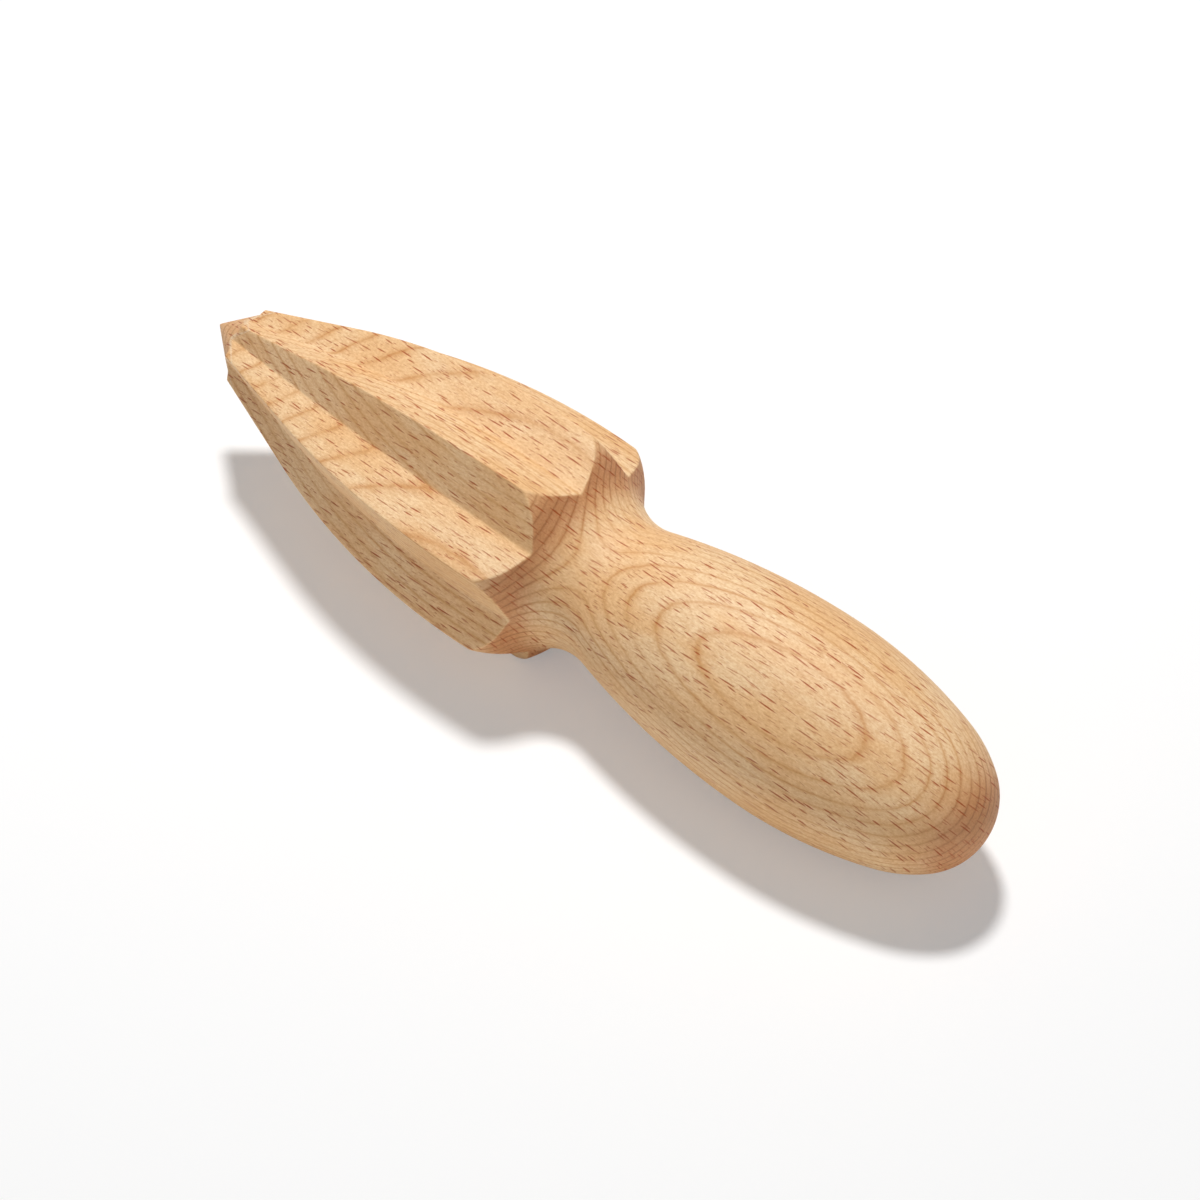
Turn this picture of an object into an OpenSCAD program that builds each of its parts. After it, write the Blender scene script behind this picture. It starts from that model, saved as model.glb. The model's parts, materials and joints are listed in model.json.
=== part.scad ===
// Hand citrus reamer, turned and fluted from one piece of beech.
// It lies on a table: the point is at -X, the handle at +X, and +Z is up.
// Every position along the reamer is measured from its point.

/* [Overall] */
// Length from the point to the end of the handle
overall_length = 160; // [150:1:175]

/* [Fluted head] */
// Diameter across the crests where the head is widest
head_diameter = 42.7; // [39:0.1:46]
// Distance from the point to the widest place of the head
head_widest = 69.7; // [64:0.1:73]
// Distance from the point to the rear ends of the crests
crest_length = 75.3; // [73.5:0.1:80]
// Slope of the straight front stretch of the ribs, against the axis
taper_angle = 19.5; // [17:0.5:21]
// Radius of the long arc that follows the straight stretch
head_arc_radius = 125.6; // [115:0.2:130]

/* [Flutes] */
// Number of flutes round the head
flute_count = 8; // [7:1:10]
// Angle between the two sides of a flute
flute_angle = 136; // [126:1:142]
// Width of the fine land that the turned surface leaves along each crest
crest_land = 0.3; // [0.2:0.05:0.8]

/* [Point] */
// Full angle of the turned point
point_angle = 75; // [68:1:84]
// Height of the steep front faces of the ribs, between the point and the crests
rib_step = 0.9; // [0.4:0.1:1.6]
// Full angle of the cone that carries these faces
rib_face_angle = 168; // [140:2:176]

/* [Shoulder and neck] */
// Radius of the rounded shoulder behind the crests
shoulder_radius = 10.1; // [8:0.1:13]
// Distance from the rear ends of the crests to the narrowest place
neck_distance = 13.6; // [12:0.2:18]
// Diameter of the neck at its narrowest place
neck_diameter = 24.2; // [21:0.2:27]
// Radius of the hollow that joins the shoulder, the neck and the handle
neck_hollow_radius = 10.6; // [8:0.2:12]

/* [Handle] */
// Diameter of the handle at its widest place
handle_diameter = 33.4; // [30:0.2:37]
// Distance from the widest place to the end of the handle
handle_tail = 35.4; // [32:0.2:40]
// Radius of the rounded end
end_radius = 11.7; // [10:0.1:13]
// Angle that the rounded end covers on each side of the axis
end_sweep = 52; // [44:1:58]
// Radius of the curve that blends the end into the belly of the handle
end_blend_radius = 23.2; // [19:0.2:26]

/* [Hidden] */
$fn = 128;

// Colour of plain oiled beech
BEECH = [0.83, 0.64, 0.45];

// Most that a chord may stand off the curve that it follows
chord_error = 0.01;

// Gap left between a cutter and the wood where the cutter only has to clear it
clearance = 1;

// In every outline a point is [distance from the axis, distance from the point].

// Place where a circle of radius r1 about a meets one of radius r2 about b,
// to the left of the way from a to b
function meeting(a, r1, b, r2) =
    let (gap = norm(b - a), way = (b - a) / gap,
         along = (gap * gap + r1 * r1 - r2 * r2) / (2 * gap))
    a + way * along + [-way[1], way[0]] * sqrt(r1 * r1 - along * along);

// Head: straight taper, then a long arc to the widest place and the crest ends
head_centre = [head_diameter / 2 - head_arc_radius, head_widest];
taper_end = head_centre + head_arc_radius * [cos(taper_angle), -sin(taper_angle)];
crest_end = [head_centre[0] + sqrt(pow(head_arc_radius, 2) - pow(crest_length - head_widest, 2)),
             crest_length];

// Point: its cone, then the steep front faces of the ribs up to the taper
point_slope = tan(point_angle / 2);
taper_slope = tan(taper_angle);
face_rise = 1 / tan(rib_face_angle / 2);
point_radius = (taper_end[0] - taper_end[1] * taper_slope - rib_step * (1 - taper_slope * face_rise))
             / (1 - taper_slope / point_slope);
point_base = point_radius * [1, 1 / point_slope];
face_end = point_base + rib_step * [1, face_rise];

// Shoulder and neck: a round through the crest ends, tangent to the neck's hollow
neck = crest_length + neck_distance;
hollow_centre = [neck_diameter / 2 + neck_hollow_radius, neck];
shoulder_centre = meeting(crest_end, shoulder_radius, hollow_centre, shoulder_radius + neck_hollow_radius);
shoulder_end = shoulder_centre + (hollow_centre - shoulder_centre)
             * shoulder_radius / (shoulder_radius + neck_hollow_radius);

// Handle, front: one arc, tangent to the hollow, that is level at the widest place
widest = overall_length - handle_tail;
front_drop = hollow_centre[0] - handle_diameter / 2;
front_radius = (pow(widest - neck, 2) + pow(front_drop, 2) - pow(neck_hollow_radius, 2))
             / (handle_diameter - neck_diameter);
front_centre = [handle_diameter / 2 - front_radius, widest];
hollow_end = hollow_centre + (front_centre - hollow_centre)
           * neck_hollow_radius / (neck_hollow_radius + front_radius);

// Handle, tail: the rounded end, its blend, and a belly arc tangent to the blend
end_way = [sin(end_sweep), cos(end_sweep)];
end_centre = [0, overall_length - end_radius];
blend_centre = end_centre - (end_blend_radius - end_radius) * end_way;
blend_step = blend_centre - [handle_diameter / 2, widest];
belly_radius = (pow(end_blend_radius, 2) - blend_step * blend_step)
             / (2 * (blend_step[0] + end_blend_radius));
belly_centre = [handle_diameter / 2 - belly_radius, widest];
blend_way = (blend_centre - belly_centre) / norm(blend_centre - belly_centre);
blend_start = blend_centre + end_blend_radius * blend_way;

// Flutes: the cutter follows the crests, a little deeper, with its own arc and slope
pitch = 180 / flute_count;
rib_angle = flute_angle - 2 * pitch;
crest_radius = head_diameter / 2 + crest_land / 2 / tan(rib_angle / 2);
width_ratio = tan(pitch) / tan(flute_angle / 2);
flute_radius = crest_radius * cos(pitch) * (1 - width_ratio);
flute_arc_radius = (head_arc_radius / cos(pitch) - width_ratio * flute_radius) / (1 - width_ratio);
flute_slope = asin(head_arc_radius * sin(taper_angle) / flute_arc_radius);
flute_centre = [flute_radius - flute_arc_radius, head_widest];
flute_exit = asin((neck - head_widest) / flute_arc_radius);
flute_cuts = ceil((flute_slope + flute_exit) / (2 * acos(1 - 2 * chord_error / flute_arc_radius)));
flute_step = (flute_slope + flute_exit) / flute_cuts;
cutter_height = head_diameter / 2 - flute_radius + clearance;
cutter_run = flute_centre[1] / cos(flute_slope) - flute_arc_radius * tan(flute_slope) + clearance;

// Rest: the reamer lies on the rear ends of two crests and on the belly
rest_point = [crest_end[0] * cos(pitch - asin(crest_land / 2 / crest_end[0])), crest_length];
belly_step = belly_centre - rest_point;
rest_tilt = atan2(-belly_step[0], belly_step[1]) - asin(belly_radius / norm(belly_step));
rest_height = rest_point[0] * cos(rest_tilt) + rest_point[1] * sin(rest_tilt);
rest_reach = (overall_length - end_radius) * cos(rest_tilt) + end_radius;

// Points of a round about a centre, between two angles that are 0 square to the axis
// and grow towards the handle, with chords that stay close to the true curve
function arc(centre, radius, from, to) =
    let (steps = ceil(abs(to - from) / (2 * acos(1 - chord_error / radius))))
    [for (i = [0 : steps])
        let (a = from + (to - from) * i / steps)
        centre + radius * [cos(a), sin(a)]];

// Angle of a place on a round, counted as arc() counts it
function bearing(centre, place) =
    atan2(place[1] - centre[1], place[0] - centre[0]);

// Half section of the turned blank
module blank_outline() {
    polygon(concat(
        [[0, 0], point_base, face_end],
        arc(head_centre, head_arc_radius, -taper_angle, bearing(head_centre, crest_end)),
        arc(shoulder_centre, shoulder_radius, bearing(shoulder_centre, crest_end),
            bearing(shoulder_centre, shoulder_end)),
        arc(hollow_centre, neck_hollow_radius, bearing(hollow_centre, shoulder_end) + 360,
            bearing(hollow_centre, hollow_end)),
        arc(front_centre, front_radius, bearing(front_centre, hollow_end), 0),
        arc(belly_centre, belly_radius, 0, bearing(belly_centre, blend_start)),
        arc(blend_centre, end_blend_radius, bearing(blend_centre, blend_start), 90 - end_sweep),
        arc(end_centre, end_radius, 90 - end_sweep, 90)
    ));
}

// Cross section of the flute cutter, with its tip at the origin
module cutter_section() {
    half_width = cutter_height * tan(flute_angle / 2);
    polygon([[0, 0], [cutter_height, half_width], [cutter_height, -half_width]]);
}

// Straight cut whose bottom line is the given distance from the flute's centre of curvature,
// square to the direction of the angle, and runs the given lengths to either side
module straight_cut(angle, distance, before, after) {
    translate([flute_centre[0], 0, flute_centre[1]])
        rotate([0, -angle, 0])
            translate([distance, 0, -before])
                linear_extrude(before + after)
                    cutter_section();
}

// Wood that one flute takes away: along the taper, then round the arc in short cuts
module flute_cutter() {
    straight_cut(-flute_slope, flute_arc_radius, cutter_run, clearance);
    for (i = [1 : flute_cuts])
        straight_cut(-flute_slope + (i - 0.5) * flute_step, flute_arc_radius * cos(flute_step / 2),
                     flute_arc_radius * sin(flute_step / 2) + clearance,
                     flute_arc_radius * sin(flute_step / 2) + clearance);
}

// The turned blank with its flutes cut one after another, the axis along Z
module fluted_blank(flutes) {
    if (flutes == 0)
        rotate_extrude()
            blank_outline();
    else
        difference() {
            fluted_blank(flutes - 1);
            rotate((flutes - 1) * 2 * pitch)
                flute_cutter();
        }
}

module reamer() {
    color(BEECH)
        translate([-rest_reach / 2, 0, rest_height])
            rotate([0, 90 + rest_tilt, 0])
                fluted_blank(flute_count);
}

reamer();
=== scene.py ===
"""Looks of the hand citrus reamer: a finer skin for the CAD body, oiled beech, and a plain studio."""

import json
import math

import bpy
import numpy as np
from mathutils import Matrix, Vector


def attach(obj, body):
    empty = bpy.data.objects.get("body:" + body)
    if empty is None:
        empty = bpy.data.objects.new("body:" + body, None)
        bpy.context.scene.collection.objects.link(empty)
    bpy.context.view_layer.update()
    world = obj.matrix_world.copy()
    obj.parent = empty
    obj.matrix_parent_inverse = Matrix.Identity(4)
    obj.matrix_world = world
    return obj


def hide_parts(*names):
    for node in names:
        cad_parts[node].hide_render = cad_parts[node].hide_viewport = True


MM = 0.001
WHITE = (1, 1, 1, 1)

# Turned body, in millimetres, with each place measured from the point
OVERALL_LENGTH = 160.0
HEAD_DIAMETER = 42.7
HEAD_WIDEST = 69.7
CREST_LENGTH = 75.3
TAPER_ANGLE = math.radians(19.5)
HEAD_ARC_RADIUS = 125.6
POINT_ANGLE = math.radians(75)
RIB_STEP = 0.9
RIB_FACE_ANGLE = math.radians(168)
SHOULDER_RADIUS = 10.1
NECK_DISTANCE = 13.6
NECK_DIAMETER = 24.2
NECK_HOLLOW_RADIUS = 10.6
HANDLE_DIAMETER = 33.4
HANDLE_TAIL = 35.4
END_RADIUS = 11.7
END_SWEEP = math.radians(52)
END_BLEND_RADIUS = 23.2

# Flutes
FLUTE_COUNT = 8
FLUTE_ANGLE = math.radians(136)
CREST_LAND = 0.3

# Softening of the point, the outline's corners and the flutes' edges, in millimetres, and of
# the flutes' bottoms, as a share of their distance from the axis
POINT_BLUNTNESS = 0.2
OUTLINE_SOFTNESS = 0.1
EDGE_SOFTNESS = 0.35
VALLEY_SOFTNESS = 0.006

# Mesh columns: their angles from a flute's bottom to the crest, in degrees, with eight flutes
COLUMN_ANGLES = (0, 0.25, 0.7, 1.6, 3.2, 5.5, 8.5, 11.5, 14.5, 17, 19, 20.3, 21.1, 21.6, 21.95, 22.25)
CREST_ANGLE = 22.5

# Mesh rows: how many each stretch has, and how much closer they lie at its start and its end
CONE_ROWS = 30
FACE_ROWS = 3
FLUTE_ROWS = 149
FLUTE_EASE = (1.6, 1.3)
SHOULDER_ROWS = 55
SHOULDER_EASE = (1.4, 0.2)
HANDLE_ROWS = 109
END_ROWS = 35

# Where a flute's edge is looked for: from this place on, and until this far before the neck
FRONT_SEARCH_START = 5.0
BACK_SEARCH_MARGIN = 3.0

# Growth rings: layers that face this way round the axis, lean this much along it, lie this far
# apart, and bend slightly about one place
RING_FACING = math.radians(122)
RING_LEAN = math.radians(0.96)
RING_SPACING = 1.315
RING_OFFSET = 12.885
RING_BEND_PLACE = 80.0
RING_BEND = 0.45 / 40 ** 2
RING_SWAY = 0.5
RING_WOBBLE = 0.22

# Noises of the wood: features per millimetre along the grain, beside the ring layers and across
# them, then detail and roughness
SWAY_NOISE = ((0.02, 0.08, 0.08), 2.0, 0.5)
WOBBLE_NOISE = ((0.35, 0.8, 0.8), 3.0, 0.5)
FADING_NOISE = ((0.06, 0.25, 0.25), 2.0, 0.5)
CLOUD_NOISE = ((0.05, 0.16, 0.16), 3.0, 0.5)
GRAIN_NOISE = ((0.3, 3.0, 3.0), 3.0, 0.6)
SPECKLE_NOISE = ((1.6, 3.3, 3.3), 3.0, 0.7)

# Smooth steps: where each one starts and ends, and what it gives there
RING_CORE_STEP = (0.07, 0.01, 0.0, 0.4)
RING_HALO_STEP = (0.25, 0.0, 0.0, 0.6)
RING_FADING_STEP = (0.3, 0.7, 0.45, 1.0)
END_GRAIN_STEP = (0.4, 0.85, 0.0, 1.0)
CLOUD_STEP = (0.35, 0.65, 0.0, 1.0)
GRAIN_STEP = (0.35, 0.75, 0.0, 0.5)
MOTTLE_STEP = (0.3, 0.7, 0.0, 1.0)
# The next three steps shape the pale band just off the point's cone: torn fibres and a painted highlight
# along the edge
TORN_AND_HIGHLIT_START_STEP = (0.01, 0.06, 0.0, 1.0)
TORN_AND_HIGHLIT_END_STEP = (0.4, 0.15, 0.0, 1.0)
TORN_AND_HIGHLIT_PATCH_STEP = (0.35, 0.5, 0.1, 0.55)
FLECK_EDGE_STEP = (1.0, 0.45, 0.0, 1.0)
FLECK_BROADSIDE_STEP = (0.84, 0.97, 1.0, 0.3)
ROUGHNESS_STEP = (0.2, 0.8, 0.64, 0.52)

# Colours of the wood as they show on screen, from 0 to 255
PALE_WOOD = (246, 210, 164)
WARM_WOOD = (240, 194, 140)
GRAIN_SHADE = (222, 170, 116)
RING_LINE = (204, 138, 70)
END_WOOD = (207, 137, 85)
END_LINE = (150, 84, 44)
# The pale band off the point's cone: torn fibres and a painted highlight of that edge
TORN_FIBRE_AND_HIGHLIGHT = (242, 216, 184)
FLECK = (178, 78, 16)

# How strongly the lines and the end grain show, and the darkest and lightest mottle
RING_LINE_SHARE = 0.75
END_WOOD_SHARE = 0.8
END_LINE_SHARE = 0.6
MOTTLE_DARK = (0.92, 0.86, 0.8, 1)
MOTTLE_LIGHT = (1.08, 1.14, 1.2, 1)

# Ray flecks, in millimetres: one in each cell, with its least strength and what chance adds to it
LARGE_FLECKS = {"cell": (3.6, 1.15, 2.8), "half_length": 1.6, "half_width": 0.155,
                "half_height": 1.6, "slant": 0.14, "seed": 1, "strength": (0.56, 0.42)}
SMALL_FLECKS = {"cell": (2.0, 0.65, 1.8), "half_length": 0.7, "half_width": 0.1,
                "half_height": 1.0, "slant": 0.2, "seed": 2, "strength": (0.15, 0.55)}
SHORTEST_FLECK = 0.5
SEED_SHIFT = (17.3, 9.1, 5.7)

# Surface of the wood: the depth of its bump in metres, each part's share of it, and its gloss
BUMP_DEPTH = 0.0001
SPECKLE_BUMP = 0.5
GRAIN_BUMP = 0.4
LINE_BUMP = 0.15
FLECK_BUMP = -0.3
WOOD_IOR = 1.5

# Camera: the photograph's view of the reamer
IMAGE_SIZE = 1200
CAMERA_LENS = 90.0
CAMERA_SENSOR = 36.0
CAMERA_CLIP = (0.01, 20)
CAMERA_ELEVATION = math.radians(45.956)
CAMERA_AZIMUTH = math.radians(40.924)
POINT_PIXEL = (219.35, 323.85)
POINT_DEPTH = 506.72 * MM

# Lamp, room and floor, in metres
KEY_PLACE = (-0.172, 0.166, 0.819)
KEY_SIZE = 0.12
KEY_WATTS = 6.1
ROOM_STRENGTH = 0.115
FRONT_STRENGTH = 0.45
FRONT = (0.7071, -0.7071, 0.0)
FLOOR_REACH = 4.0
FLOOR_COLOUR = (0.94, 0.92, 0.87, 1)
FLOOR_WHITENESS_STEP = (0.11, 0.4, 0.26, 1.0)


def meeting(a, r1, b, r2):
    """Where a circle of radius r1 about a meets one of radius r2 about b, to the left of a to b."""
    gap = b - a
    length = np.linalg.norm(gap)
    way = gap / length
    along = (length ** 2 + r1 ** 2 - r2 ** 2) / (2 * length)
    return a + way * along + np.array([-way[1], way[0]]) * math.sqrt(r1 ** 2 - along ** 2)


def line(start, end):
    """Radius along a straight stretch of the outline, for a place s."""
    return lambda s: start[0] + (s - start[1]) * (end[0] - start[0]) / (end[1] - start[1])


def arc(centre, radius, side=1):
    """Radius along an arc of the outline, on its outer side, or on its inner side where side is -1."""
    return lambda s: centre[0] + side * np.sqrt(np.maximum(radius ** 2 - (s - centre[1]) ** 2, 0))


def turned_outline():
    """The turned blank's radius as a function of the place, and the places where its form changes."""
    head_centre = np.array([HEAD_DIAMETER / 2 - HEAD_ARC_RADIUS, HEAD_WIDEST])
    taper_end = head_centre + HEAD_ARC_RADIUS * np.array([math.cos(TAPER_ANGLE), -math.sin(TAPER_ANGLE)])
    crest_run = CREST_LENGTH - HEAD_WIDEST
    crest_radius = head_centre[0] + math.sqrt(HEAD_ARC_RADIUS ** 2 - crest_run ** 2)
    crest_end = np.array([crest_radius, CREST_LENGTH])

    point_slope = math.tan(POINT_ANGLE / 2)
    taper_slope = math.tan(TAPER_ANGLE)
    face_rise = 1 / math.tan(RIB_FACE_ANGLE / 2)
    taper_start = taper_end[0] - taper_end[1] * taper_slope
    point_radius = ((taper_start - RIB_STEP * (1 - taper_slope * face_rise))
                    / (1 - taper_slope / point_slope))
    point_base = point_radius * np.array([1, 1 / point_slope])
    face_end = point_base + RIB_STEP * np.array([1, face_rise])

    neck = CREST_LENGTH + NECK_DISTANCE
    hollow_centre = np.array([NECK_DIAMETER / 2 + NECK_HOLLOW_RADIUS, neck])
    both_radii = SHOULDER_RADIUS + NECK_HOLLOW_RADIUS
    shoulder_centre = meeting(crest_end, SHOULDER_RADIUS, hollow_centre, both_radii)
    shoulder_end = shoulder_centre + (hollow_centre - shoulder_centre) * SHOULDER_RADIUS / both_radii

    widest = OVERALL_LENGTH - HANDLE_TAIL
    front_drop = hollow_centre[0] - HANDLE_DIAMETER / 2
    front_radius = (((widest - neck) ** 2 + front_drop ** 2 - NECK_HOLLOW_RADIUS ** 2)
                    / (HANDLE_DIAMETER - NECK_DIAMETER))
    front_centre = np.array([HANDLE_DIAMETER / 2 - front_radius, widest])
    hollow_end = hollow_centre + ((front_centre - hollow_centre) * NECK_HOLLOW_RADIUS
                                  / (NECK_HOLLOW_RADIUS + front_radius))

    end_way = np.array([math.sin(END_SWEEP), math.cos(END_SWEEP)])
    end_centre = np.array([0, OVERALL_LENGTH - END_RADIUS])
    end_start = end_centre + END_RADIUS * end_way
    blend_centre = end_centre - (END_BLEND_RADIUS - END_RADIUS) * end_way
    blend_step = blend_centre - np.array([HANDLE_DIAMETER / 2, widest])
    belly_radius = ((END_BLEND_RADIUS ** 2 - blend_step @ blend_step)
                    / (2 * (blend_step[0] + END_BLEND_RADIUS)))
    belly_centre = np.array([HANDLE_DIAMETER / 2 - belly_radius, widest])
    blend_way = (blend_centre - belly_centre) / np.linalg.norm(blend_centre - belly_centre)
    blend_start = blend_centre + END_BLEND_RADIUS * blend_way

    stretches = [
        (point_base[1], line(np.zeros(2), point_base)),
        (face_end[1], line(point_base, face_end)),
        (taper_end[1], line(face_end, taper_end)),
        (CREST_LENGTH, arc(head_centre, HEAD_ARC_RADIUS)),
        (shoulder_end[1], arc(shoulder_centre, SHOULDER_RADIUS)),
        (hollow_end[1], arc(hollow_centre, NECK_HOLLOW_RADIUS, -1)),
        (widest, arc(front_centre, front_radius)),
        (blend_start[1], arc(belly_centre, belly_radius)),
        (end_start[1], arc(blend_centre, END_BLEND_RADIUS)),
        (OVERALL_LENGTH, arc(end_centre, END_RADIUS)),
    ]

    def radius(s):
        s = np.asarray(s, float)
        inside = [s <= end for end, _ in stretches]
        return np.select(inside, [shape(np.minimum(s, end)) for end, shape in stretches], 0.0)

    places = {
        "point_base": point_base[1],
        "face_end": face_end[1],
        "neck": neck,
        "hollow_end": hollow_end[1],
        "end_centre": end_centre[1],
        "end_start": end_start[1],
    }
    return radius, places


def flute_shape():
    """Distance of a flute's sides from the axis, for a place and an angle from the flute's bottom."""
    pitch = math.pi / FLUTE_COUNT
    rib_angle = FLUTE_ANGLE - 2 * pitch
    crest_radius = HEAD_DIAMETER / 2 + CREST_LAND / 2 / math.tan(rib_angle / 2)
    width_ratio = math.tan(pitch) / math.tan(FLUTE_ANGLE / 2)
    flute_radius = crest_radius * math.cos(pitch) * (1 - width_ratio)
    arc_radius = (HEAD_ARC_RADIUS / math.cos(pitch) - width_ratio * flute_radius) / (1 - width_ratio)
    slope = math.asin(HEAD_ARC_RADIUS * math.sin(TAPER_ANGLE) / arc_radius)
    centre = np.array([flute_radius - arc_radius, HEAD_WIDEST])
    taper_end = centre + arc_radius * np.array([math.cos(slope), -math.sin(slope)])

    def radius(s, angle):
        side = np.sin(angle) / math.tan(FLUTE_ANGLE / 2)
        side = np.sqrt(side ** 2 + VALLEY_SOFTNESS ** 2) - VALLEY_SOFTNESS
        straight = ((taper_end[0] * math.cos(slope) + (s - taper_end[1]) * math.sin(slope))
                    / (np.cos(angle) * math.cos(slope) - side))
        # The curved stretch solves a * radius ** 2 - 2 * b * radius + c = 0
        a = np.cos(angle) ** 2 - side ** 2
        b = np.cos(angle) * centre[0] + arc_radius * side
        c = centre[0] ** 2 + (s - centre[1]) ** 2 - arc_radius ** 2
        curved = (b + np.sqrt(np.maximum(b ** 2 - a * c, 0))) / a
        return np.where(s < taper_end[1], straight, curved)

    return radius


def crossing(function, low, high, angles, otherwise, halvings=40):
    """The place where a function of place and angle changes its sign, for each of the angles."""
    low = np.full(len(angles), float(low))
    high = np.full(len(angles), float(high))
    first = function(low, angles)
    changes = first * function(high, angles) < 0
    for _ in range(halvings):
        middle = (low + high) / 2
        same = function(middle, angles) * first > 0
        low = np.where(same, middle, low)
        high = np.where(same, high, middle)
    return np.where(changes, (low + high) / 2, otherwise)


def soft_minimum(a, b, width):
    """The smaller of two values, with the corner between them rounded over the given width."""
    share = np.maximum(width - np.abs(a - b), 0) / width
    return np.minimum(a, b) - share ** 2 * width / 4


def spread(rows, ease_start=0.0, ease_end=0.0):
    """A column of shares from 0 to just below 1, closer together at an end whose ease is larger."""
    t = np.linspace(0, 1, rows + 1)[:-1, None]
    start = t ** (1 + ease_start)
    end = 1 - (1 - t) ** (1 + ease_end)
    return start * (1 - t) + end * t


def mesh_columns():
    """Angles of the mesh's columns round the axis, and their angles from the nearest flute's bottom."""
    pitch = math.pi / FLUTE_COUNT
    half = np.radians(COLUMN_ANGLES) * pitch / math.radians(CREST_ANGLE)
    one = np.concatenate([half, [pitch], (2 * pitch - half[1:])[::-1]])
    angles = np.concatenate([one + 2 * pitch * k for k in range(FLUTE_COUNT)])
    return angles, np.abs((angles + pitch) % (2 * pitch) - pitch)


def mesh_rows(blank, flute, places, from_bottom):
    """Places of the mesh's rows, bent so that the flutes' front and back edges lie on rows."""
    def over(s, angle):
        return flute(s, angle) - blank(s)

    face_end, hollow_end = places["face_end"], places["hollow_end"]
    front = crossing(over, FRONT_SEARCH_START, face_end, from_bottom, face_end)
    back = crossing(over, CREST_LENGTH, places["neck"] - BACK_SEARCH_MARGIN, from_bottom, CREST_LENGTH)

    foot = places["point_base"] / face_end
    cone = np.linspace(0, 1, CONE_ROWS + 1)[1:, None] * np.arccosh(front * foot / POINT_BLUNTNESS)
    face = np.linspace(foot, 1, FACE_ROWS + 2)[1:-1, None]
    sweep = math.acos((places["end_start"] - places["end_centre"]) / END_RADIUS)
    turn = np.linspace(sweep, 0, END_ROWS + 1)[:-1, None]
    level = np.ones(len(from_bottom))
    return np.vstack([
        POINT_BLUNTNESS * np.cosh(cone),
        face * front,
        front + spread(FLUTE_ROWS, *FLUTE_EASE) * (back - front),
        back + spread(SHOULDER_ROWS, *SHOULDER_EASE) * (hollow_end - back),
        (hollow_end + spread(HANDLE_ROWS) * (places["end_start"] - hollow_end)) * level,
        (places["end_centre"] + END_RADIUS * np.cos(turn)) * level,
    ])


def body_mesh():
    """The whole turned and fluted body as one closed mesh, along x, with a flute's bottom at +y."""
    blank, places = turned_outline()
    flute = flute_shape()
    angles, from_bottom = mesh_columns()
    along = mesh_rows(blank, flute, places, from_bottom)

    around = (blank(np.maximum(along - OUTLINE_SOFTNESS, 0)), blank(along + OUTLINE_SOFTNESS))
    softened = np.minimum((blank(along) + around[0] + around[1]) / 3, blank(along))
    turned = np.where(along > places["neck"], blank(along), softened)
    off_tip = np.sqrt(np.maximum(along ** 2 - POINT_BLUNTNESS ** 2, 0))
    blunted = off_tip * math.tan(POINT_ANGLE / 2)
    turned = np.minimum(turned, np.where(along < places["point_base"], blunted, turned))
    cut = flute(along, np.broadcast_to(from_bottom, along.shape))
    radius = np.where(along < places["neck"], soft_minimum(turned, cut, EDGE_SOFTNESS), turned)

    rings = np.stack([along, radius * np.cos(angles), radius * np.sin(angles)], axis=-1)
    points = np.vstack([[[POINT_BLUNTNESS, 0, 0]], rings.reshape(-1, 3), [[OVERALL_LENGTH, 0, 0]]])

    here = 1 + np.arange(along.size).reshape(along.shape)
    beside = np.roll(here, -1, axis=1)
    tip = np.stack([np.zeros_like(here[0]), beside[0], here[0]], axis=-1)
    quads = np.stack([here[:-1], beside[:-1], beside[1:], here[1:]], axis=-1).reshape(-1, 4)
    end = np.stack([np.full_like(here[-1], len(points) - 1), here[-1], beside[-1]], axis=-1)
    return points, tip.tolist() + quads.tolist() + end.tolist()


def make_body(name, point, axis):
    """Puts the body where the CAD solid lies: its point at the given place, a flute straight down."""
    points, faces = body_mesh()
    along = np.array(axis)
    across = np.array([0.0, 1.0, 0.0])
    down = np.cross(across, along)
    offsets = points[:, :1] * along + points[:, 1:2] * down + points[:, 2:] * across
    mesh = bpy.data.meshes.new(name)
    mesh.from_pydata((np.array(point) + MM * offsets).tolist(), [], faces)
    mesh.validate()
    mesh.polygons.foreach_set("use_smooth", [True] * len(mesh.polygons))
    mesh.update()
    body = bpy.data.objects.new(name, mesh)
    bpy.context.scene.collection.objects.link(body)
    return body


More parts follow.
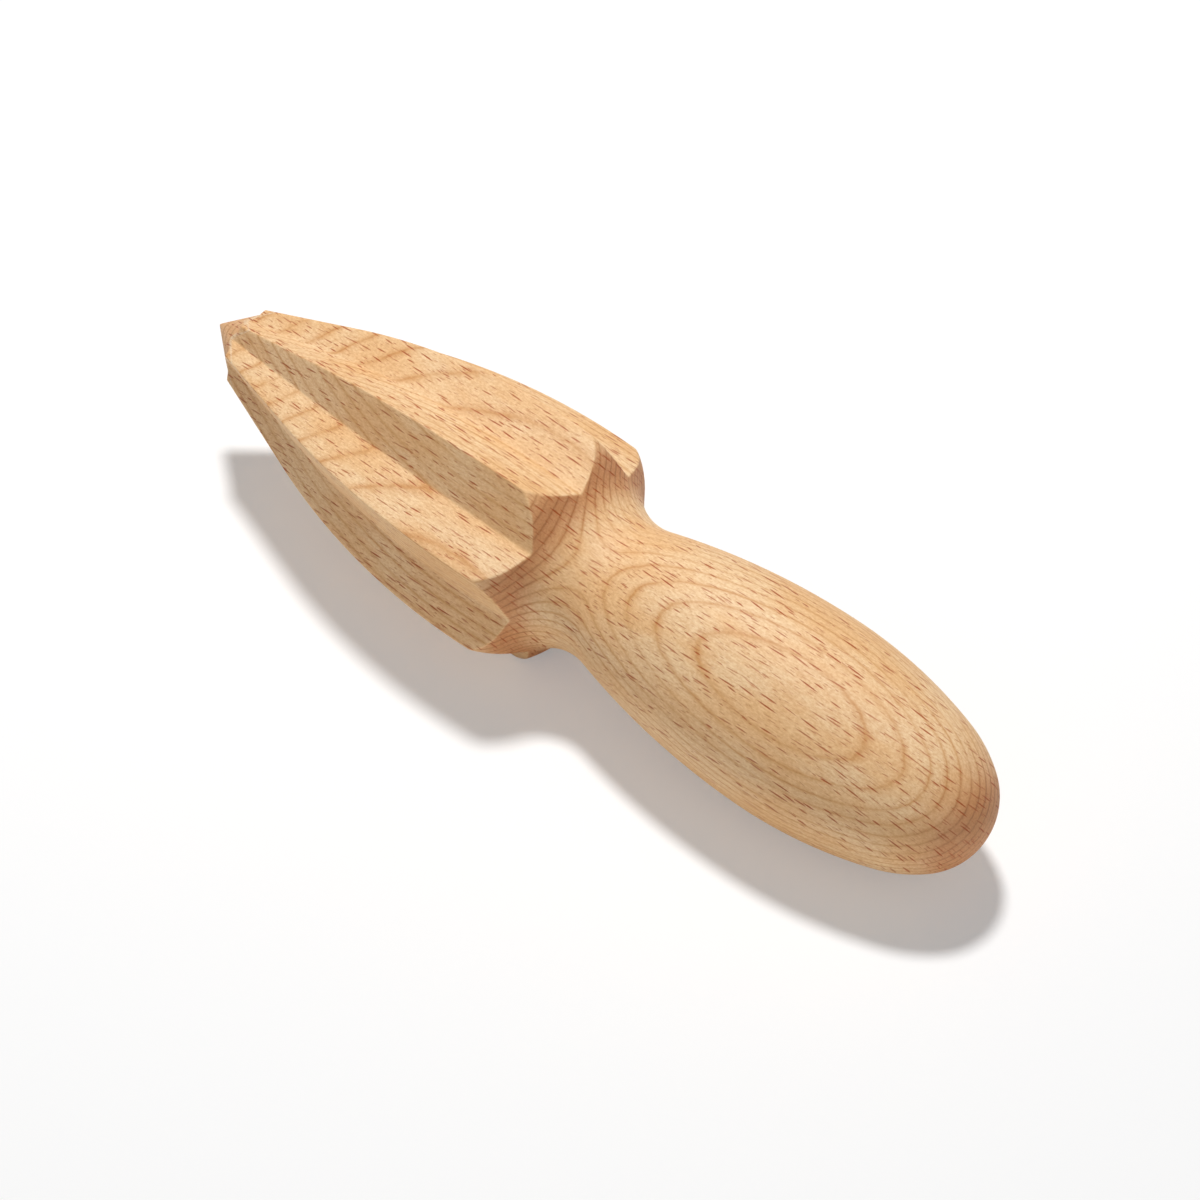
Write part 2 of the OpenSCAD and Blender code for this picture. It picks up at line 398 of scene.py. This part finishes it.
class Nodes:
    """Short calls that build the node tree of a material or a world."""

    def __init__(self, owner):
        owner.use_nodes = True
        self.tree = owner.node_tree
        self.tree.nodes.clear()

    def add(self, kind, inputs=None, **settings):
        node = self.tree.nodes.new(kind)
        for key, value in settings.items():
            setattr(node, key, value)
        for key, value in (inputs or {}).items():
            if isinstance(value, bpy.types.NodeSocket):
                self.tree.links.new(value, node.inputs[key])
            else:
                node.inputs[key].default_value = value
        return node

    def math(self, operation, a, b=0.0, c=0.0):
        return self.add("ShaderNodeMath", {0: a, 1: b, 2: c}, operation=operation).outputs[0]

    def vector(self, operation, a, b=(0, 0, 0)):
        return self.add("ShaderNodeVectorMath", {0: a, 1: b}, operation=operation).outputs["Vector"]

    def dot(self, a, b):
        node = self.add("ShaderNodeVectorMath", {0: a, 1: tuple(b)}, operation="DOT_PRODUCT")
        return node.outputs["Value"]

    def length(self, vector):
        return self.add("ShaderNodeVectorMath", {0: vector}, operation="LENGTH").outputs["Value"]

    def combine(self, x=0.0, y=0.0, z=0.0):
        return self.add("ShaderNodeCombineXYZ", {0: x, 1: y, 2: z}).outputs[0]

    def step(self, value, low, high, out_low, out_high):
        """A smooth step from out_low to out_high as value goes from low to high."""
        inputs = {"Value": value, "From Min": low, "From Max": high, "To Min": out_low, "To Max": out_high}
        return self.add("ShaderNodeMapRange", inputs, interpolation_type="SMOOTHSTEP").outputs[0]

    def noise(self, place, stretch, detail, rough):
        """Noise round 0.5, with its features stretched by the three numbers of stretch."""
        vector = self.vector("MULTIPLY", place, stretch)
        inputs = {"Vector": vector, "Scale": 1.0, "Detail": detail, "Roughness": rough}
        return self.add("ShaderNodeTexNoise", inputs, noise_dimensions="3D").outputs["Fac"]

    def mix(self, share, a, b, blend="MIX"):
        """Colours a and b mixed; the Mix node takes colours at its inputs 6 and 7."""
        inputs = {0: share, 6: a, 7: b}
        return self.add("ShaderNodeMix", inputs, data_type="RGBA", blend_type=blend).outputs[2]


def colour(shown):
    """A colour given as it shows on screen, from 0 to 255, in Blender's linear values."""
    shares = [c / 255 for c in shown]
    linear = [c / 12.92 if c <= 0.04045 else ((c + 0.055) / 1.055) ** 2.4 for c in shares]
    return (*linear, 1.0)


def ring_lines(n, a, r, place):
    """Strength of the growth-ring lines: a fine core in a soft halo, fading here and there."""
    bent = n.math("SUBTRACT", a, RING_BEND_PLACE)
    depth = n.math("MULTIPLY_ADD", bent, math.sin(RING_LEAN), r)
    depth = n.math("ADD", depth, n.math("MULTIPLY", n.math("MULTIPLY", bent, bent), RING_BEND))
    for noise, amount in ((SWAY_NOISE, RING_SWAY), (WOBBLE_NOISE, RING_WOBBLE)):
        shift = n.math("SUBTRACT", n.noise(place, *noise), 0.5)
        depth = n.math("MULTIPLY_ADD", shift, amount, depth)
    ring = n.math("DIVIDE", n.math("SUBTRACT", depth, RING_OFFSET), RING_SPACING)
    share = n.math("FRACT", n.math("ADD", ring, 0.5))
    away = n.math("ABSOLUTE", n.math("SUBTRACT", share, 0.5))
    lines = n.math("ADD", n.step(away, *RING_CORE_STEP), n.step(away, *RING_HALO_STEP))
    fading = n.step(n.noise(place, *FADING_NOISE), *RING_FADING_STEP)
    return n.math("MULTIPLY", lines, fading)


def fleck_layer(n, place, cell, half_length, half_width, half_height, slant, seed, strength):
    """Strength of ray flecks: thin upright ribbons along the grain, one in each cell."""
    shifted = n.vector("ADD", place, tuple(seed * shift for shift in SEED_SHIFT))
    scaled = n.vector("DIVIDE", shifted, cell)
    cells = n.add("ShaderNodeTexVoronoi", {"Vector": scaled, "Scale": 1.0, "Randomness": 1.0},
                  voronoi_dimensions="3D", feature="F1")
    chance = n.add("ShaderNodeSeparateColor", {0: cells.outputs["Color"]})
    offset = n.vector("MULTIPLY", n.vector("SUBTRACT", scaled, cells.outputs["Position"]), cell)
    along, beside, above = n.add("ShaderNodeSeparateXYZ", {0: offset}).outputs
    lean = n.math("MULTIPLY", n.math("SUBTRACT", chance.outputs[1], 0.5), slant)
    side = n.math("ABSOLUTE", n.math("MULTIPLY_ADD", along, lean, beside))
    length = n.math("MULTIPLY_ADD", chance.outputs[0], half_length, half_length * SHORTEST_FLECK)
    reach = n.math("DIVIDE", along, length)
    rise = n.math("DIVIDE", above, half_height)
    edge = n.math("DIVIDE", side, half_width)
    edge = n.math("MULTIPLY_ADD", reach, reach, edge)
    edge = n.math("MULTIPLY_ADD", rise, rise, edge)
    least, added = strength
    shown = n.math("MULTIPLY_ADD", chance.outputs[2], added, least)
    return n.math("MULTIPLY", n.step(edge, *FLECK_EDGE_STEP), shown)


def torn_and_highlit_rim(n, a, t, r, speckle):
    """Share of the pale band just off the point's cone, where the flutes begin: torn fibres together with a
    painted highlight along that edge.
    """
    from_axis = n.length(n.combine(t, r))
    off_cone = n.math("SUBTRACT", n.math("MULTIPLY", a, math.tan(POINT_ANGLE / 2)), from_axis)
    torn_and_highlit = n.math("MULTIPLY", n.step(off_cone, *TORN_AND_HIGHLIT_START_STEP), n.step(off_cone, *TORN_AND_HIGHLIT_END_STEP))
    return n.math("MULTIPLY", torn_and_highlit, n.step(speckle, *TORN_AND_HIGHLIT_PATCH_STEP))


def beech(point, axis):
    """Oiled beech: growth rings, ray flecks along the grain, mottle, and darker end grain."""
    material = bpy.data.materials.new("beech")
    n = Nodes(material)
    along = Vector(axis)
    level = Vector((0, 1, 0))
    up = along.cross(level)
    facing = level * math.cos(RING_FACING) + up * math.sin(RING_FACING)
    beside = up * math.cos(RING_FACING) - level * math.sin(RING_FACING)

    where = n.add("ShaderNodeTexCoord").outputs["Object"]
    local = n.vector("MULTIPLY", n.vector("SUBTRACT", where, tuple(point)), (1 / MM, 1 / MM, 1 / MM))
    a, t, r = n.dot(local, along), n.dot(local, beside), n.dot(local, facing)
    place = n.combine(a, t, r)
    normal = n.add("ShaderNodeNewGeometry").outputs["Normal"]
    end_grain = n.step(n.math("ABSOLUTE", n.dot(normal, along)), *END_GRAIN_STEP)
    broadside = n.math("ABSOLUTE", n.dot(normal, beside))

    lines = ring_lines(n, a, r, place)
    clouds = n.noise(place, *CLOUD_NOISE)
    grain = n.noise(place, *GRAIN_NOISE)
    speckle = n.noise(place, *SPECKLE_NOISE)
    flecks = n.math("MAXIMUM", fleck_layer(n, place, **LARGE_FLECKS), fleck_layer(n, place, **SMALL_FLECKS))
    flecks = n.math("MULTIPLY", flecks, n.step(broadside, *FLECK_BROADSIDE_STEP))

    base = n.mix(n.step(clouds, *CLOUD_STEP), colour(PALE_WOOD), colour(WARM_WOOD))
    base = n.mix(n.step(grain, *GRAIN_STEP), base, colour(GRAIN_SHADE))
    base = n.mix(n.math("MULTIPLY", lines, RING_LINE_SHARE), base, colour(RING_LINE))
    base = n.mix(n.math("MULTIPLY", end_grain, END_WOOD_SHARE), base, colour(END_WOOD))
    end_lines = n.math("MULTIPLY", n.math("MULTIPLY", end_grain, lines), END_LINE_SHARE)
    base = n.mix(end_lines, base, colour(END_LINE))
    # Pale band off the point's cone: torn fibres with a painted highlight along the edge
    base = n.mix(torn_and_highlit_rim(n, a, t, r, speckle), base, colour(TORN_FIBRE_AND_HIGHLIGHT))
    mottle = n.mix(n.step(speckle, *MOTTLE_STEP), MOTTLE_DARK, MOTTLE_LIGHT)
    base = n.mix(1.0, base, mottle, "MULTIPLY")
    base = n.mix(flecks, base, colour(FLECK))

    rough = n.step(speckle, *ROUGHNESS_STEP)
    height = n.math("MULTIPLY_ADD", flecks, FLECK_BUMP, n.math("MULTIPLY", speckle, SPECKLE_BUMP))
    height = n.math("MULTIPLY_ADD", grain, GRAIN_BUMP, height)
    height = n.math("MULTIPLY_ADD", lines, LINE_BUMP, height)
    bump = n.add("ShaderNodeBump", {"Strength": 1.0, "Distance": BUMP_DEPTH, "Height": height})
    inputs = {"Base Color": base, "Roughness": rough, "IOR": WOOD_IOR, "Normal": bump.outputs[0]}
    shader = n.add("ShaderNodeBsdfPrincipled", inputs)
    n.add("ShaderNodeOutputMaterial", {"Surface": shader.outputs[0]})
    return material


def floor_material():
    """Pale floor that the camera sees lightened to white, all white far out, but for the shadow."""
    material = bpy.data.materials.new("studio_floor")
    n = Nodes(material)
    plain = n.add("ShaderNodeBsdfDiffuse", {"Color": FLOOR_COLOUR})
    seen = n.add("ShaderNodeBsdfDiffuse", {"Color": WHITE})
    white = n.add("ShaderNodeEmission", {"Color": WHITE, "Strength": 1.0})
    away = n.length(n.add("ShaderNodeTexCoord").outputs["Object"])
    whiteness = n.step(away, *FLOOR_WHITENESS_STEP)
    lightened = n.add("ShaderNodeMixShader", {0: whiteness, 1: seen.outputs[0], 2: white.outputs[0]})
    path = n.add("ShaderNodeLightPath")
    direct = n.math("MAXIMUM", path.outputs["Is Camera Ray"], path.outputs["Is Transmission Ray"])
    shader = n.add("ShaderNodeMixShader", {0: direct, 1: plain.outputs[0], 2: lightened.outputs[0]})
    n.add("ShaderNodeOutputMaterial", {"Surface": shader.outputs[0]})
    return material


def make_floor():
    """One square face at the height of the surface that the reamer lies on."""
    corners = [(FLOOR_REACH * x, FLOOR_REACH * y, 0) for x, y in ((-1, -1), (1, -1), (1, 1), (-1, 1))]
    mesh = bpy.data.meshes.new("floor")
    mesh.from_pydata(corners, [], [(0, 1, 2, 3)])
    floor = bpy.data.objects.new("floor", mesh)
    floor.data.materials.append(floor_material())
    bpy.context.scene.collection.objects.link(floor)


def make_lamp(name, place, size, watts):
    """A round lamp that points at the origin."""
    data = bpy.data.lights.new(name, "AREA")
    data.shape = "DISK"
    data.size = size
    data.energy = watts
    lamp = bpy.data.objects.new(name, data)
    lamp.location = place
    lamp.rotation_mode = "QUATERNION"
    lamp.rotation_quaternion = (-Vector(place)).to_track_quat("-Z", "Y")
    bpy.context.scene.collection.objects.link(lamp)


def make_world(strength, front, front_strength):
    """An even pale room, lighter towards the front, that the camera sees as white."""
    world = bpy.data.worlds.new("studio")
    n = Nodes(world)
    towards = n.dot(n.add("ShaderNodeTexCoord").outputs["Generated"], front)
    inputs = {"Value": towards, "To Min": strength, "To Max": strength + front_strength}
    lit = n.add("ShaderNodeMapRange", inputs)
    room = n.add("ShaderNodeBackground", {"Color": WHITE, "Strength": lit.outputs[0]})
    seen = n.add("ShaderNodeBackground", {"Color": WHITE, "Strength": 1.0})
    camera_ray = n.add("ShaderNodeLightPath").outputs["Is Camera Ray"]
    mix = n.add("ShaderNodeMixShader", {0: camera_ray, 1: room.outputs[0], 2: seen.outputs[0]})
    n.add("ShaderNodeOutputWorld", {"Surface": mix.outputs[0]})
    bpy.context.scene.world = world


def make_camera(point):
    """The photograph's camera, placed so that the reamer's point falls on its pixel."""
    forward = Vector((-math.sin(CAMERA_AZIMUTH) * math.cos(CAMERA_ELEVATION),
                      math.cos(CAMERA_AZIMUTH) * math.cos(CAMERA_ELEVATION),
                      -math.sin(CAMERA_ELEVATION)))
    right = Vector((math.cos(CAMERA_AZIMUTH), math.sin(CAMERA_AZIMUTH), 0))
    up = right.cross(forward)
    pixels_per_unit = IMAGE_SIZE * CAMERA_LENS / CAMERA_SENSOR
    across = (POINT_PIXEL[0] - IMAGE_SIZE / 2) / pixels_per_unit * POINT_DEPTH
    below = (POINT_PIXEL[1] - IMAGE_SIZE / 2) / pixels_per_unit * POINT_DEPTH
    place = Vector(point) - right * across + up * below - forward * POINT_DEPTH
    data = bpy.data.cameras.new("camera")
    data.lens = CAMERA_LENS
    data.sensor_width = CAMERA_SENSOR
    data.clip_start, data.clip_end = CAMERA_CLIP
    camera = bpy.data.objects.new("camera", data)
    turn = Matrix((right, up, -forward)).transposed().to_4x4()
    camera.matrix_world = Matrix.Translation(place) @ turn
    bpy.context.scene.collection.objects.link(camera)
    bpy.context.scene.camera = camera


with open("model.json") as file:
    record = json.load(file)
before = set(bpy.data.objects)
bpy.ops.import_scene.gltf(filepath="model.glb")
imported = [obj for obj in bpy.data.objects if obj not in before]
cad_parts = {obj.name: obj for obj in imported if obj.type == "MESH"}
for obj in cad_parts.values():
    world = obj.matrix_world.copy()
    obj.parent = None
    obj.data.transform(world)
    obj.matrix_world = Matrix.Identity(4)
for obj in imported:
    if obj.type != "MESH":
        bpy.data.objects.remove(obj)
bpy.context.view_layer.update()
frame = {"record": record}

head = next(m for m in frame["record"]["mounts"] if m["name"] == "head")
reamer_point = head["pos_m"]
reamer_axis = [-c for c in head["axis"]]

body = make_body("beech_body", reamer_point, reamer_axis)
body.data.materials.append(beech(reamer_point, reamer_axis))
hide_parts("reamer")
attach(body, "root")

make_floor()
make_lamp("key", KEY_PLACE, KEY_SIZE, KEY_WATTS)
make_world(ROOM_STRENGTH, FRONT, FRONT_STRENGTH)
make_camera(reamer_point)
bpy.context.scene.view_settings.view_transform = "Standard"
